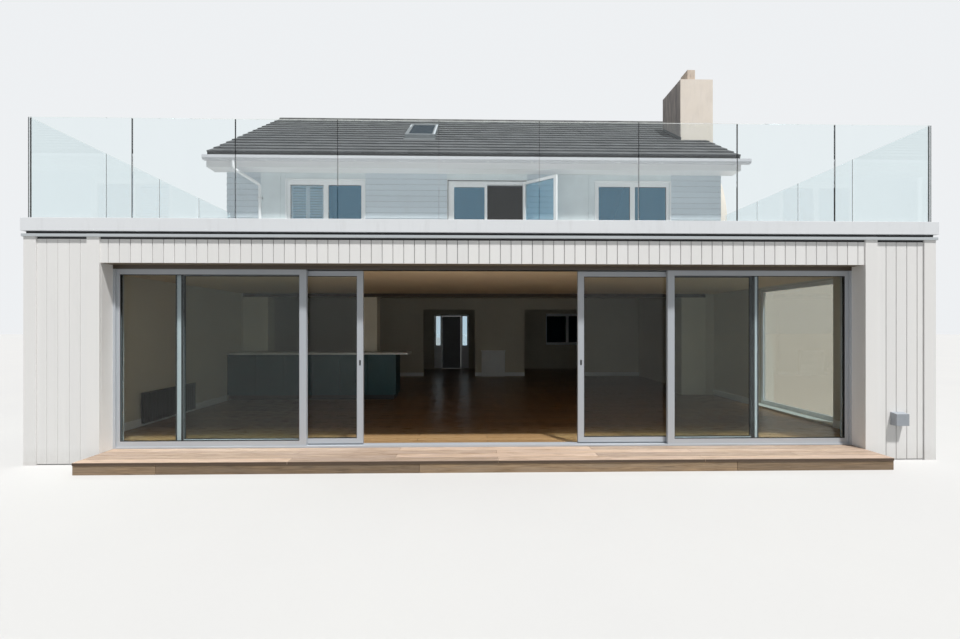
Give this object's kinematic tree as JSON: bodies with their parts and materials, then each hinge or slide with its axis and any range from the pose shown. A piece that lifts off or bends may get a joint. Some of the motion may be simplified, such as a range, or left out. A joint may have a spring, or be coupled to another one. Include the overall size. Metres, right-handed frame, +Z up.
{
  "type": "two-storey seaside house with a glazed garden extension and roof terrace",
  "caption": "Pitched-roof house with a flat-roofed extension, wide sliding glass doors, a timber step, and a terrace with a frameless glass balustrade.",
  "frame": {"origin": "on the ground, at the middle of the extension's cladding face", "axes": "+X to the right along the garden front, +Y into the house, +Z up"},
  "size_m": [11.845, 13.062, 8.21],
  "materials": {
    "white_cladding": "painted",
    "edge_trim": "powder coated",
    "door_aluminium": "powder coated",
    "door_glass": "clear",
    "balustrade_glass": "clear tinted",
    "weatherboard": "painted",
    "chimney_render": "painted render",
    "roof_tiles": "weathered concrete tile",
    "roof_window_metal": "powder coated",
    "white_plastic": "gloss",
    "window_plastic": "gloss",
    "window_glass": "clear",
    "step_timber": "weathered",
    "floor_timber": "oiled",
    "interior_paint": "matt paint",
    "kitchen_paint": "painted units with a pale worktop",
    "socket_plastic": "matt",
    "flat_roof": "paved",
    "clay": "matt",
    "entrance_paint": "painted",
    "shutter_paint": "painted"
  },
  "bodies": {
    "house": {"back_wall_lower": "weatherboard", "back_wall_upper": "weatherboard", "balustrade_shoe": "edge_trim", "bargeboards": "white_plastic", "chimney": "chimney_render", "chimney_pot": "clay", "door_outer_frame": "door_aluminium", "downpipe": "white_plastic", "eaves_boards": "white_plastic", "entrance_frame": "window_plastic", "extension_left_wall": "white_cladding", "extension_right_wall": "white_cladding", "first_floor": "interior_paint", "fixed_leaf_frames": "door_aluminium", "fixed_leaf_glass": "door_glass", "front_balustrade_glass": "balustrade_glass", "front_lintel": "white_cladding", "front_piers": "white_cladding", "front_roof_slope": "roof_tiles", "ground_floor": "floor_timber", "gutters": "white_plastic", "hall_wall": "interior_paint", "house_left_wall": "weatherboard", "house_right_wall": "weatherboard", "kitchen_counter": "kitchen_paint", "louvre_shutters": "shutter_paint", "outdoor_socket": "socket_plastic", "pier_trim_boards": "white_cladding", "rear_roof_slope": "roof_tiles", "ridge_tiles": "roof_tiles", "roof_window": "roof_window_metal", "side_balustrade_glass": "balustrade_glass", "support_frame": "interior_paint", "terrace_coping": "edge_trim", "terrace_door_frame": "window_plastic", "terrace_door_open_leaf": "window_plastic", "terrace_roof": "flat_roof", "timber_step": "step_timber", "upper_front_wall": "weatherboard", "window_frames": "window_plastic", "window_glass": "window_glass"},
    "left_door": {"left_sliding_leaf": "door_aluminium", "left_sliding_glass": "door_glass"},
    "right_door": {"right_sliding_leaf": "door_aluminium", "right_sliding_glass": "door_glass"},
    "entrance_leaf": {"entrance_door": "entrance_paint"}
  },
  "joints": [
    {"name": "left_door_slide", "type": "slide", "parent": "house", "child": "left_door", "axis": [1, 0, 0], "range_m": [-0.63, 1.611]},
    {"name": "right_door_slide", "type": "slide", "parent": "house", "child": "right_door", "axis": [-1, 0, 0], "range_m": [-1.08, 1.162]},
    {"name": "entrance_hinge", "type": "hinge", "parent": "house", "child": "entrance_leaf", "pos_m": [-1.2705, 12.074, 0.14], "axis": [0, 0, -1], "range_deg": [0, 90]}
  ]
}
